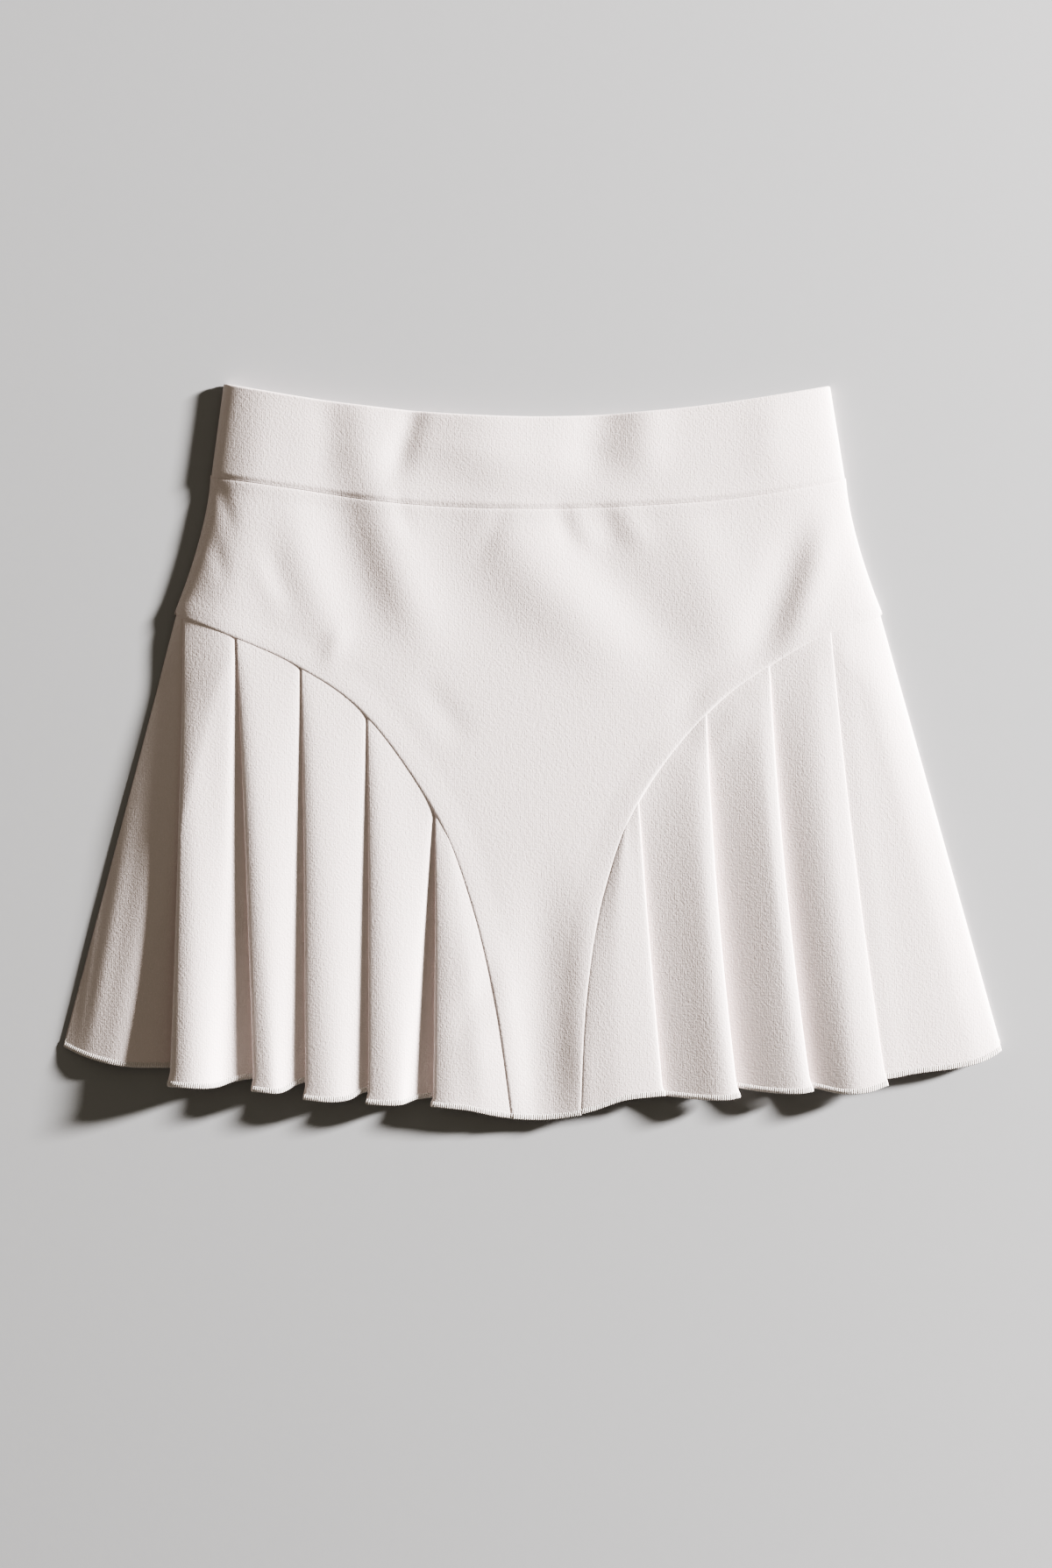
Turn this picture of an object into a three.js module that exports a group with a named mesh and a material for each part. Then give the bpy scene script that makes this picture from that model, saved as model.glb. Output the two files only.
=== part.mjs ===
// A tennis skort laid flat on its back: a wide pull-on waistband, a Y-shaped front panel whose
// centre tongue runs to the hem, a knife-pleated panel on each side of it, a plain back, and
// inner shorts between the two skirt layers.
//
// Millimetres. +X is the garment's width, to the right seen from above, +Y runs from hem to waist,
// and +Z is up from the surface that the back lies on. The origin is under the middle of the outline.
import * as THREE from 'three';

// ---------------------------------------------------------------- driving dimensions

const CLOTH = 1.0; // wall of a single layer
const BAND_CLOTH = 2.4; // wall of the waistband: two layers over elastic
const SEAM_GAP = 0.3; // clearance between neighbouring pieces
const SEAM_STATIONS = 27; // stations along each panel seam of the front panel
const SIDE_STATIONS = 5; // its stations along each side fold

// Mid-surface heights of the layers, from the surface up.
const BACK_Z = CLOTH / 2;
const SHORTS_BACK_Z = BACK_Z + CLOTH + SEAM_GAP;
const SHORTS_FRONT_Z = SHORTS_BACK_Z + CLOTH + SEAM_GAP;
const FRONT_EDGE_Z = BACK_Z + CLOTH + SEAM_GAP; // the front where it meets the back at the side fold
const FRONT_LOW_Z = 2.3; // the front where it lies straight on the back
const FRONT_HIGH_Z = 5.4; // the front over the shorts
const FRONT_EDGE_ROLL = 9; // width over which the front rises from the side fold
const FRONT_HIGH_X = { from: 206, to: 184 }; // it rises onto the shorts between these, on each side
const FRONT_HIGH_Y = { from: -176, to: -150 }; // and between these above the hem
const BAND_BACK_Z = BAND_CLOTH / 2;
const BAND_EDGE_Z = BAND_BACK_Z + BAND_CLOTH + SEAM_GAP;
const BAND_HIGH_Z = 6.2;

// Waistband: its upper edge dips towards the middle, its ends slope outwards.
const BAND_TOP_MIDDLE_Y = 179.3;
const BAND_TOP_DIP = 17.2;
const BAND_TOP_LEFT_X = -164.3;
const BAND_TOP_RIGHT_X = 158.2;
const BAND_TOP_CURVE = 1.85; // power of the dip's curve
const BAND_TOP_HALF = 160; // distance from the middle over which it dips
const BAND_STEP = 1.3; // the band's ends lie this far inside the skirt's at the waist seam

// Seam between waistband and skirt, from the left side fold to the right.
const WAIST_SEAM = [
  { x: -172.3, y: 147.6 },
  { x: -122, y: 140.3 },
  { x: -69, y: 133.0 },
  { x: 0, y: 130.2 },
  { x: 73, y: 132.8 },
  { x: 120, y: 137.3 },
  { x: 167.6, y: 145.9 },
];

// The two side panels are listed in the left panel's coordinates, so the right one is mirrored.
// seam: the panel seam from the side fold through the pleats' apexes down to the hem.
// flare: the hem from the side fold to the first pleat, with the cloth's lift there.
// inner: the strip between the last pleat and the seam, as shares of its width, with its hem.
// pleats: apexX on the seam; fold, crest, foot and recess are hem points of the fold edge, of the
// strip where it starts to fall, of its foot, and of the recess beside the next fold;
// lap is the hidden underlap at the hem, rise the fold's height, bow the fold line's sideways bow.
const LEFT = {
  mirror: 1,
  seam: [
    { x: -190.5, y: 73 },
    { x: -158.5, y: 61 },
    { x: -124, y: 45 },
    { x: -89, y: 19.5 },
    { x: -53, y: -31 },
    { x: -34, y: -77 },
    { x: -20, y: -134 },
    { x: -11, y: -195.5 },
  ],
  flare: [
    { seamX: -190.5, x: -251, y: -157.5, lift: 0 },
    { seamX: -190.0, x: -243, y: -161, lift: 0.5 },
    { seamX: -189.5, x: -229, y: -165, lift: 0.8 },
    { seamX: -189.0, x: -214, y: -167, lift: 0.4 },
    { seamX: -188.5, x: -195, y: -167.4, lift: 0 },
  ],
  pleats: [
    { apexX: -186.0, foldX: -193, foldY: -177.5, crestX: -165, crestY: -178.6,
      footX: -158, footY: -175.5, recessX: -150, recessY: -173.8, lap: 8, rise: 3.6, bow: 2.5 },
    { apexX: -158.5, foldX: -148.5, foldY: -180.5, crestX: -133, crestY: -181.4,
      footX: -126.5, footY: -178, recessX: -122, recessY: -175.5, lap: 8, rise: 3.2, bow: 0.5 },
    { apexX: -124.0, foldX: -121, foldY: -185, crestX: -98, crestY: -185.8,
      footX: -92, footY: -182.4, recessX: -88.5, recessY: -180.7, lap: 8, rise: 3.2, bow: 0.5 },
    { apexX: -89.0, foldX: -87.5, foldY: -187.5, crestX: -66, crestY: -187.6,
      footX: -60, footY: -185.5, recessX: -54, recessY: -184, lap: 8, rise: 3.2, bow: 0.5 },
    { apexX: -53.0, foldX: -53, foldY: -189, lap: 8, rise: 3.2, bow: 0.5 },
  ],
  inner: [
    { share: 0.25, y: -190.7, lift: 3.1 },
    { share: 0.5, y: -192.6, lift: 2.4 },
    { share: 0.75, y: -194.4, lift: 0.8 },
    { share: 1, y: -195.6, lift: 0 },
  ],
};

const RIGHT = {
  mirror: -1,
  seam: [
    { x: -186, y: 72.5 },
    { x: -159.5, y: 64 },
    { x: -127, y: 46.5 },
    { x: -93.5, y: 21 },
    { x: -57.5, y: -25 },
    { x: -38, y: -77 },
    { x: -29, y: -134 },
    { x: -26, y: -193.5 },
  ],
  flare: [
    { seamX: -186.0, x: -251, y: -159.5, lift: 0 },
    { seamX: -181.0, x: -240, y: -165.8, lift: 0.6 },
    { seamX: -176.0, x: -225, y: -169, lift: 0.8 },
    { seamX: -171.0, x: -208, y: -170.4, lift: 0.5 },
    { seamX: -166.0, x: -190, y: -174, lift: 0 },
  ],
  pleats: [
    { apexX: -159.5, foldX: -188.5, foldY: -178, crestX: -172, crestY: -182,
      footX: -155, footY: -179.5, recessX: -149.5, recessY: -177, lap: 5, rise: 3.2, bow: 2.0 },
    { apexX: -127.0, foldX: -148.5, foldY: -181, crestX: -136, crestY: -181.8,
      footX: -116, footY: -180, recessX: -110.5, recessY: -178, lap: 8, rise: 3.2, bow: 2.7 },
    { apexX: -93.5, foldX: -109.5, foldY: -184, crestX: -98, crestY: -185.4,
      footX: -79, footY: -184, recessX: -70.5, recessY: -182.8, lap: 8, rise: 3.2, bow: 2.3 },
    { apexX: -57.5, foldX: -69.5, foldY: -183.2, lap: 8, rise: 3.2, bow: 0.5 },
  ],
  inner: [
    { share: 0.25, y: -184.2, lift: 3.0 },
    { share: 0.5, y: -187.4, lift: 1.6 },
    { share: 0.75, y: -190.8, lift: 0.3 },
    { share: 1, y: -193.4, lift: 0 },
  ],
};

const SKIRT_SLOPE_LEFT = 0.263; // sideways run of the side fold for each millimetre down
const SKIRT_SLOPE_RIGHT = 0.280;
const YOKE_SIDE_LEFT = { top: 172.3, bottom: 191.8 };
const YOKE_SIDE_RIGHT = { top: 167.6, bottom: 187.2 };
const YOKE_SIDE_TOP_Y = 147;
const YOKE_SIDE_BOTTOM_Y = 74;
const YOKE_SIDE_CURVE = 1.5; // power of the hip's curve
const SKIRT_STEP = 1.3; // the skirt's side lies this far inside the yoke's at their seam

// Places on the seam, before the next pleat's apex, where a strip's crest, foot and recess start.
const CREST_START = 9;
const FOOT_START = 6.5;
const RECESS_START = 4.5;
const STRIP_CROWN = 0.2; // how much higher the middle of a strip lies than its edges

// Rounded folding of a pleat: half the thickness of the turn, and how fast the fold opens.
const FOLD_TURN = 0.8;
const FOLD_START_LAP = -2.4; // at the seam the fold is still a ramp this long
const INNER_START = 2.2; // the inner strip's edge starts on the seam this far past the last apex
const FOLD_OPENING = 0.07; // share of the thread over which the fold reaches its height

const TONGUE_HEM_DIP = 1.6; // dip of the tongue's hem between the two panel seams

// Soft folds in the front panel: troughs from one point to another, with their width and depth.
const FRONT_FOLDS = [
  { fromX: -93, fromY: 128, toX: -70, toY: 84, width: 9, depth: 0.7 },
  { fromX: -135, fromY: 100, toX: -109, toY: 61, width: 10, depth: 0.6 },
  { fromX: -10, fromY: 105, toX: 100, toY: 41, width: 14, depth: 0.8 },
  { fromX: 24, fromY: 56, toX: 90, toY: 20, width: 11, depth: 0.6 },
  { fromX: 152, fromY: 117, toX: 129, toY: 54, width: 9, depth: 0.6 },
];

// Back and shorts.
const BACK_HEM_SIDE_Y = -156;
const BACK_HEM_DROP = 14;
const BACK_YOKE_DROP = 10; // dip of the back yoke seam at the centre back
const SHORTS_SIDE_INSET = 10;
const SHORTS_SIDE_X = 180;
const SHORTS_CROTCH_Y = -70;
const SHORTS_HEM_Y = -145;
const SHORTS_LEG_GAP = 7; // half the gap between the legs at their hems
const CROTCH_SHARE = 0.06; // share of the shorts' width that ends at the crotch

// ---------------------------------------------------------------- outline and height functions

const { lerp, smoothstep, clamp } = THREE.MathUtils;

// Height of a curve through the given points at x, from a dense polyline of the spline.
const CURVE_DIVISIONS = 40; // between neighbouring points
function curveHeight(points) {
  const curve = new THREE.SplineCurve(points.map((p) => new THREE.Vector2(p.x, p.y)));
  const polyline = curve.getPoints(CURVE_DIVISIONS * (points.length - 1));
  return (x) => {
    let i = 1;
    while (i < polyline.length - 1 && polyline[i].x < x) i += 1;
    const [a, b] = [polyline[i - 1], polyline[i]];
    return lerp(a.y, b.y, (x - a.x) / (b.x - a.x));
  };
}

const waistSeamY = curveHeight(WAIST_SEAM);
const bandTopY = (x) => BAND_TOP_MIDDLE_Y + BAND_TOP_DIP * Math.abs(x / BAND_TOP_HALF) ** BAND_TOP_CURVE;

// Half width of the outline below the waistband on one side.
function halfWidth(y, yoke, slope) {
  if (y < YOKE_SIDE_BOTTOM_Y) return yoke.bottom - SKIRT_STEP + (YOKE_SIDE_BOTTOM_Y - y) * slope;
  const down = clamp((YOKE_SIDE_TOP_Y - y) / (YOKE_SIDE_TOP_Y - YOKE_SIDE_BOTTOM_Y), 0, 1);
  return lerp(yoke.top, yoke.bottom, down ** YOKE_SIDE_CURVE);
}
const leftSideX = (y) => -halfWidth(y, YOKE_SIDE_LEFT, SKIRT_SLOPE_LEFT);
const rightSideX = (y) => halfWidth(y, YOKE_SIDE_RIGHT, SKIRT_SLOPE_RIGHT);

// The front lies on the shorts, lower around them, and comes down to the back at the side folds.
function frontHeight(x, y) {
  const acrossRise = 1 - smoothstep(Math.abs(x), FRONT_HIGH_X.to, FRONT_HIGH_X.from);
  const overShorts = acrossRise * smoothstep(y, FRONT_HIGH_Y.from, FRONT_HIGH_Y.to);
  const plateau = lerp(FRONT_LOW_Z, FRONT_HIGH_Z, overShorts);
  const fromSide = Math.max(0, Math.min(x - leftSideX(y), rightSideX(y) - x));
  const roll = Math.sin((Math.min(fromSide / FRONT_EDGE_ROLL, 1) * Math.PI) / 2);
  return lerp(FRONT_EDGE_Z, plateau, roll);
}

// Depth of the soft folds at a point: a bell across each fold that fades at both its ends.
function frontFoldDepth(x, y) {
  let depth = 0;
  for (const fold of FRONT_FOLDS) {
    const [dx, dy] = [fold.toX - fold.fromX, fold.toY - fold.fromY];
    const length = Math.hypot(dx, dy);
    const along = ((x - fold.fromX) * dx + (y - fold.fromY) * dy) / length;
    const across = ((x - fold.fromX) * dy - (y - fold.fromY) * dx) / length;
    const beyond = Math.max(0, -along, along - length);
    depth += fold.depth * Math.exp(-((across / fold.width) ** 2) - (beyond / fold.width) ** 2);
  }
  return depth;
}

// ---------------------------------------------------------------- cloth walls

// A closed wall of cloth around a mid-surface. columns and rows are the stations of the grid, and
// surface(column, row) gives a point; columns run towards +X and rows towards -Y on the upper side.
function clothWall(surface, columns, rows, wall) {
  const grid = rows.map((row) => columns.map((column) => surface(column, row)));
  const direction = (a, b) => new THREE.Vector3().subVectors(b, a).normalize();
  const normalAt = (i, j) => {
    const line = grid[j];
    const across = new THREE.Vector3();
    if (i > 0) across.add(direction(line[i - 1], line[i]));
    if (i < line.length - 1) across.add(direction(line[i], line[i + 1]));
    const down = direction(grid[Math.max(j - 1, 0)][i], grid[Math.min(j + 1, grid.length - 1)][i]);
    return down.cross(across).normalize();
  };
  const geometry = new THREE.BoxGeometry(1, 1, wall, columns.length - 1, rows.length - 1, 1);
  const position = geometry.getAttribute('position');
  for (let n = 0; n < position.count; n += 1) {
    const i = Math.round((position.getX(n) + 0.5) * (columns.length - 1));
    const j = Math.round((0.5 - position.getY(n)) * (rows.length - 1));
    const point = grid[j][i].clone().addScaledVector(normalAt(i, j), position.getZ(n));
    position.setXYZ(n, point.x, point.y, point.z);
  }
  geometry.deleteAttribute('uv');
  geometry.computeVertexNormals();
  return geometry;
}

// Shares of the width near an edge, closer together where the cloth rolls down to the side fold.
const EDGE_COLUMNS = [0, 0.008, 0.018, 0.034];

const evenly = (count) => Array.from({ length: count + 1 }, (_, i) => i / count);

// ---------------------------------------------------------------- waistband

// One half of the waistband, ruled between its upper edge and the waist seam.
function waistband(edgeZ, highZ) {
  const surface = (u, v) => {
    const top = lerp(BAND_TOP_LEFT_X, BAND_TOP_RIGHT_X, u);
    const bottom = lerp(WAIST_SEAM[0].x + BAND_STEP, WAIST_SEAM.at(-1).x - BAND_STEP, u);
    const x = lerp(top, bottom, v);
    const y = lerp(bandTopY(top), waistSeamY(bottom) + SEAM_GAP / 2, v);
    const fromSide = Math.min(u, 1 - u) * (WAIST_SEAM.at(-1).x - WAIST_SEAM[0].x);
    const roll = Math.sin((Math.min(fromSide / FRONT_EDGE_ROLL, 1) * Math.PI) / 2);
    return new THREE.Vector3(x, y, lerp(edgeZ, highZ, roll));
  };
  const middle = evenly(18).slice(1, -1);
  const columns = [...EDGE_COLUMNS, ...middle, ...EDGE_COLUMNS.map((u) => 1 - u).reverse()];
  return clothWall(surface, columns, evenly(3), BAND_CLOTH);
}

// ---------------------------------------------------------------- side panels

// Share of a pleat's full height at row v: it opens quickly below the seam.
const opening = (v) => 1 - Math.exp(-v / FOLD_OPENING);

// The section of a knife pleat, from the recess under the fold up to the strip. Each row holds the
// place in a plain ramp, and in the folded state, as shares of the lap, the turn and the height.
const FOLD_SECTION = [
  { ramp: 0.0, rampZ: 0.0, lap: 1, turn: -1, foldedZ: 0.0, hem: 0 },
  { ramp: 0.2, rampZ: 0.1, lap: 1, turn: 0, foldedZ: 0.25, hem: 0 },
  { ramp: 0.4, rampZ: 0.35, lap: 1, turn: -1, foldedZ: 0.5, hem: 0.2 },
  { ramp: 0.6, rampZ: 0.65, lap: 0, turn: 1, foldedZ: 0.5, hem: 0.8 },
  { ramp: 0.8, rampZ: 0.9, lap: 0, turn: 0, foldedZ: 0.75, hem: 1 },
  { ramp: 1.0, rampZ: 1.0, lap: 0, turn: 1, foldedZ: 1.0, hem: 1 },
];

// A pleated panel in the left panel's coordinates. Its threads run from the panel seam to the hem,
// and each column is a function of v, from 0 on the seam to 1 at the hem.
function panelColumns(side) {
  const seamY = curveHeight(side.seam);
  const seamPoint = (x) => {
    const slope = seamY(x + 0.5) - seamY(x - 0.5);
    const step = SEAM_GAP / Math.hypot(1, slope);
    return { x: x + slope * step, y: seamY(x) - step };
  };
  const seamX = curveHeight(side.seam.map(({ x, y }) => ({ x: y, y: x })).reverse());
  const seamPointAtHeight = (y) => {
    const slope = seamX(y + 0.5) - seamX(y - 0.5);
    const step = SEAM_GAP / Math.hypot(1, slope);
    return { x: seamX(y) - step, y: y + slope * step };
  };
  const place = (x, y, lift, v) => {
    const z = frontHeight(side.mirror * x, y) + lift * opening(v);
    return new THREE.Vector3(side.mirror * x, y, z);
  };
  const thread = (seamX, hemX, hemY, lift) => (v) => {
    const start = seamPoint(seamX);
    return place(lerp(start.x, hemX, v), lerp(start.y, hemY, v), lift, v);
  };
  const foldThread = (pleat, recessY, part) => (v) => {
    const lap = lerp(FOLD_START_LAP, pleat.lap, v);
    const folded = smoothstep(lap, -2 * FOLD_TURN, 2 * FOLD_TURN);
    const rampX = lerp(lap - FOLD_TURN, FOLD_TURN, part.ramp);
    const foldedX = part.lap * Math.max(lap, 2 * FOLD_TURN) + part.turn * FOLD_TURN;
    const offset = lerp(rampX, foldedX, folded);
    const start = seamPoint(pleat.apexX + (v === 0 ? offset : 0));
    const line = lerp(pleat.apexX, pleat.foldX, v) + pleat.bow * 4 * v * (1 - v);
    const x = v === 0 ? start.x : line + offset;
    const y = lerp(start.y, lerp(recessY, pleat.foldY, part.hem), v);
    return place(x, y, pleat.rise * lerp(part.rampZ, part.foldedZ, folded), v);
  };

  const columns = side.flare.map((row) => thread(row.seamX, row.x, row.y, row.lift));
  side.pleats.forEach((pleat, k) => {
    const recessY = k === 0 ? side.flare.at(-1).y : side.pleats[k - 1].recessY;
    for (const part of FOLD_SECTION) columns.push(foldThread(pleat, recessY, part));
    const next = side.pleats[k + 1];
    if (!next) return;
    const middleX = (pleat.apexX + next.apexX) / 2;
    const stripHemX = (pleat.foldX + pleat.crestX) / 2;
    const stripHemY = (pleat.foldY + pleat.crestY) / 2;
    columns.push(thread(middleX, stripHemX, stripHemY, pleat.rise + STRIP_CROWN));
    columns.push(thread(next.apexX - CREST_START, pleat.crestX, pleat.crestY, pleat.rise));
    columns.push(thread(next.apexX - FOOT_START, pleat.footX, pleat.footY, STRIP_CROWN));
    columns.push(thread(next.apexX - RECESS_START, pleat.recessX, pleat.recessY, 0));
  });
  const last = side.pleats.at(-1);
  const [edgeX, corner] = [last.apexX + INNER_START, side.inner.at(-1)];
  for (const row of side.inner) {
    columns.push((v) => {
      const foldX = lerp(last.apexX, last.foldX, v) + last.bow * 4 * v * (1 - v) + FOLD_TURN;
      const edge = seamPointAtHeight(lerp(seamY(edgeX), corner.y, v));
      const foldStart = seamPoint(last.apexX + FOLD_TURN);
      const x = lerp(v === 0 ? foldStart.x : foldX, edge.x, row.share);
      const startY = lerp(foldStart.y, seamPointAtHeight(seamY(edgeX)).y, row.share);
      return place(x, row.share === 1 ? edge.y : lerp(startY, row.y, v), row.lift, v);
    });
  }
  return side.mirror > 0 ? columns : columns.reverse();
}

function sidePanel(side) {
  const rows = [0, 0.04, 0.1, 0.17, 0.26, 0.38, 0.52, 0.68, 0.84, 1];
  return clothWall((column, v) => column(v), panelColumns(side), rows, CLOTH);
}

// ---------------------------------------------------------------- front panel

// The rungs of the front panel, from the waist seam down to the hem: first between the side folds,
// then between equal stations of the two panel seams.
function frontRungs() {
  const seamStations = (side) => {
    const curve = new THREE.SplineCurve(side.seam.map((p) => new THREE.Vector2(p.x, p.y)));
    return evenly(SEAM_STATIONS).map((t) => {
      const [point, tangent] = [curve.getPointAt(t), curve.getTangentAt(t)];
      const inward = { x: (-tangent.y * SEAM_GAP) / 2, y: (tangent.x * SEAM_GAP) / 2 };
      return { x: side.mirror * (point.x + inward.x), y: point.y + inward.y };
    });
  };
  const left = seamStations(LEFT);
  const right = seamStations(RIGHT);
  const seamRungs = left.map((point, k) => ({ left: point, right: right[k] }));
  const sideRungs = evenly(SIDE_STATIONS).slice(0, -1).map((t) => {
    const leftY = lerp(WAIST_SEAM[0].y, left[0].y, t);
    const rightY = lerp(WAIST_SEAM.at(-1).y, right[0].y, t);
    return { left: { x: leftSideX(leftY), y: leftY }, right: { x: rightSideX(rightY), y: rightY } };
  });
  return [...sideRungs, ...seamRungs];
}

// Every rung hangs between its two ends, as deep as the waist seam at the top and straight lower down.
function frontPanel() {
  const rungs = frontRungs();
  const surface = (u, j) => {
    const { left, right } = rungs[j];
    const share = j / (rungs.length - 1);
    const waistX = lerp(WAIST_SEAM[0].x, WAIST_SEAM.at(-1).x, u);
    const waistChordY = lerp(WAIST_SEAM[0].y, WAIST_SEAM.at(-1).y, u);
    const waistSag = waistSeamY(waistX) - SEAM_GAP / 2 - waistChordY;
    const hemSag = -TONGUE_HEM_DIP * Math.sin(Math.PI * u);
    const x = lerp(left.x, right.x, u);
    const y = lerp(left.y, right.y, u) + waistSag * (1 - share) + hemSag * share ** 8;
    return new THREE.Vector3(x, y, frontHeight(x, y) - frontFoldDepth(x, y));
  };
  const middle = evenly(14).slice(1, -1);
  const columns = [...EDGE_COLUMNS, ...middle, ...EDGE_COLUMNS.map((u) => 1 - u).reverse()];
  return clothWall(surface, columns, Array.from(rungs.keys()), CLOTH);
}

// ---------------------------------------------------------------- back and shorts

// A flat layer ruled between an upper and a lower edge, each a function of u that gives { x, y }.
function flatLayer(z, upper, lower, columnCount, rowCount, sideX) {
  const surface = (u, v) => {
    const [top, bottom] = [upper(u), lower(u)];
    const y = lerp(top.y, bottom.y, v);
    const x = sideX ? lerp(...sideX(y), u) : lerp(top.x, bottom.x, v);
    return new THREE.Vector3(x, y, z);
  };
  return clothWall(surface, evenly(columnCount), evenly(rowCount), CLOTH);
}

const waistEdge = (u) => {
  const x = lerp(WAIST_SEAM[0].x, WAIST_SEAM.at(-1).x, u);
  return { x, y: waistSeamY(x) - SEAM_GAP / 2 };
};
const backYokeSeam = (u, side) => {
  const seamY = YOKE_SIDE_BOTTOM_Y - BACK_YOKE_DROP * Math.sin(Math.PI * u);
  const y = seamY + (side * SEAM_GAP) / 2;
  return { x: lerp(leftSideX(y), rightSideX(y), u), y };
};
const backHem = (u) => {
  const y = BACK_HEM_SIDE_Y - BACK_HEM_DROP * Math.sin(Math.PI * u);
  return { x: lerp(leftSideX(BACK_HEM_SIDE_Y), rightSideX(BACK_HEM_SIDE_Y), u), y };
};

function backYoke() {
  const sides = (y) => [leftSideX(y), rightSideX(y)];
  return flatLayer(BACK_Z, waistEdge, (u) => backYokeSeam(u, 1), 16, 6, sides);
}

function backSkirt() {
  return flatLayer(BACK_Z, (u) => backYokeSeam(u, -1), backHem, 20, 8);
}

// Both layers of the shorts have one cut: sides inside the skirt's, a crotch notch and two legs.
function shortsLayer(z) {
  const upper = (u) => {
    const x = lerp(WAIST_SEAM[0].x + SHORTS_SIDE_INSET, WAIST_SEAM.at(-1).x - SHORTS_SIDE_INSET, u);
    return { x, y: waistSeamY(x) - SEAM_GAP / 2 };
  };
  const lower = (u) => {
    const half = Math.sign(u - 0.5);
    const fromMiddle = Math.abs(2 * u - 1);
    const acrossLeg = (fromMiddle - CROTCH_SHARE) / (1 - CROTCH_SHARE);
    if (acrossLeg < 0) return { x: half * SHORTS_LEG_GAP * (fromMiddle / CROTCH_SHARE), y: SHORTS_CROTCH_Y };
    return { x: half * lerp(SHORTS_LEG_GAP, SHORTS_SIDE_X, acrossLeg), y: SHORTS_HEM_Y };
  };
  const surface = (u, v) => {
    const [top, bottom] = [upper(u), lower(u)];
    return new THREE.Vector3(lerp(top.x, bottom.x, v), lerp(top.y, bottom.y, v), z);
  };
  const leg = [0.98 * CROTCH_SHARE, CROTCH_SHARE, 0.25, 0.45, 0.65, 0.85, 1];
  const columns = [...leg.map((w) => (1 - w) / 2).reverse(), 0.5, ...leg.map((w) => (1 + w) / 2)];
  return clothWall(surface, columns, evenly(6), CLOTH);
}

// ---------------------------------------------------------------- the garment

const WHITE_JERSEY = { color: 0xf1eeeb, roughness: 0.85, metalness: 0 };
const WHITE_LINING = { color: 0xece9e6, roughness: 0.9, metalness: 0 };

const garment = new THREE.Group();

function addPiece(name, geometry, finish) {
  const piece = new THREE.Mesh(geometry, new THREE.MeshStandardMaterial(finish));
  piece.name = name;
  garment.add(piece);
}

addPiece('waistband_back', waistband(BAND_BACK_Z, BAND_BACK_Z), WHITE_JERSEY);
addPiece('waistband_front', waistband(BAND_EDGE_Z, BAND_HIGH_Z), WHITE_JERSEY);
addPiece('back_yoke', backYoke(), WHITE_JERSEY);
addPiece('back_skirt', backSkirt(), WHITE_JERSEY);
addPiece('shorts_back', shortsLayer(SHORTS_BACK_Z), WHITE_LINING);
addPiece('shorts_front', shortsLayer(SHORTS_FRONT_Z), WHITE_LINING);
addPiece('side_panel_left', sidePanel(LEFT), WHITE_JERSEY);
addPiece('side_panel_right', sidePanel(RIGHT), WHITE_JERSEY);
addPiece('front_panel', frontPanel(), WHITE_JERSEY);

export default garment;
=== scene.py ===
# %% [markdown]
# # A tennis skort, laid flat
#
# A white pull-on skort lies on its back on a pale table: a wide waistband, a Y-shaped front panel
# whose tongue runs down to the hem, a knife-pleated panel on each side of it, a plain back, and
# inner shorts that can't be seen from above. The imported model holds every piece's size and place.
# This script gives each one its real cloth: thin walls, rounded folds, creases, seams, an
# overlocked hem and a fine jersey grain.
#
# The model is loaded first and never moved.

# %% Load the frame
import math

import bpy
import numpy as np
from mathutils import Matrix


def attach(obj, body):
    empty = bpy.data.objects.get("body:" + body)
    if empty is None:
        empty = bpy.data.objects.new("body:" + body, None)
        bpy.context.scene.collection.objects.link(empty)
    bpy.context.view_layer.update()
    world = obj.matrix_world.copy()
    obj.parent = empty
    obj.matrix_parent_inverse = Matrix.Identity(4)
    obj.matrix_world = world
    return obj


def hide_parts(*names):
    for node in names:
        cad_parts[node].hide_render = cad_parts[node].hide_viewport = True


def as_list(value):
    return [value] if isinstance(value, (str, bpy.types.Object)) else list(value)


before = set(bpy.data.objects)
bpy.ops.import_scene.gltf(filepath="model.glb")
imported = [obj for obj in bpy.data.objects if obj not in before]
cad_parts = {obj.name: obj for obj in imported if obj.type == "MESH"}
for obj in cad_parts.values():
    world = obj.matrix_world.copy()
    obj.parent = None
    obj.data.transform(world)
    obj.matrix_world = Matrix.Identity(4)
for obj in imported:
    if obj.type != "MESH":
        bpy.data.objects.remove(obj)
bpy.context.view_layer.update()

scene = bpy.context.scene
print("nodes:", ", ".join(sorted(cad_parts)))

# %% [markdown]
# ## Camera and light
#
# The garment is seen from straight above, so the camera looks down the Z axis. A long lens from two
# metres away keeps the outline nearly free of perspective, as a copy stand does.
#
# White cloth only shows its folds in light that comes from low on one side. A round area lamp on
# the right rakes across the garment from 4 m away, near enough that its light falls off a little
# from right to left. A weak, slightly warm surround keeps the shadows open. The table is a pale
# grey, a little darker than the cloth, so that the white outline stands out.

# %% Camera
MM = 0.001
VIEW_CENTRE = (-3.5, -16.9)  # what the camera looks straight down at, in millimetres
VIEW_HEIGHT = 841  # millimetres of table from the top of the frame to its bottom
LENS = 85
SENSOR = 36  # its longer side, which lies along the frame's height


def show(name, data):
    """A new object that holds the data, linked to the scene."""
    shown = bpy.data.objects.new(name, data)
    scene.collection.objects.link(shown)
    return shown


camera_data = bpy.data.cameras.new("camera")
camera_data.lens = LENS
camera_data.sensor_width = SENSOR
camera = show("camera", camera_data)
camera_distance = LENS * VIEW_HEIGHT * MM / SENSOR
camera.location = (VIEW_CENTRE[0] * MM, VIEW_CENTRE[1] * MM, camera_distance)
scene.camera = camera
print("camera", round(camera_distance, 3), "m above the table")

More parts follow.
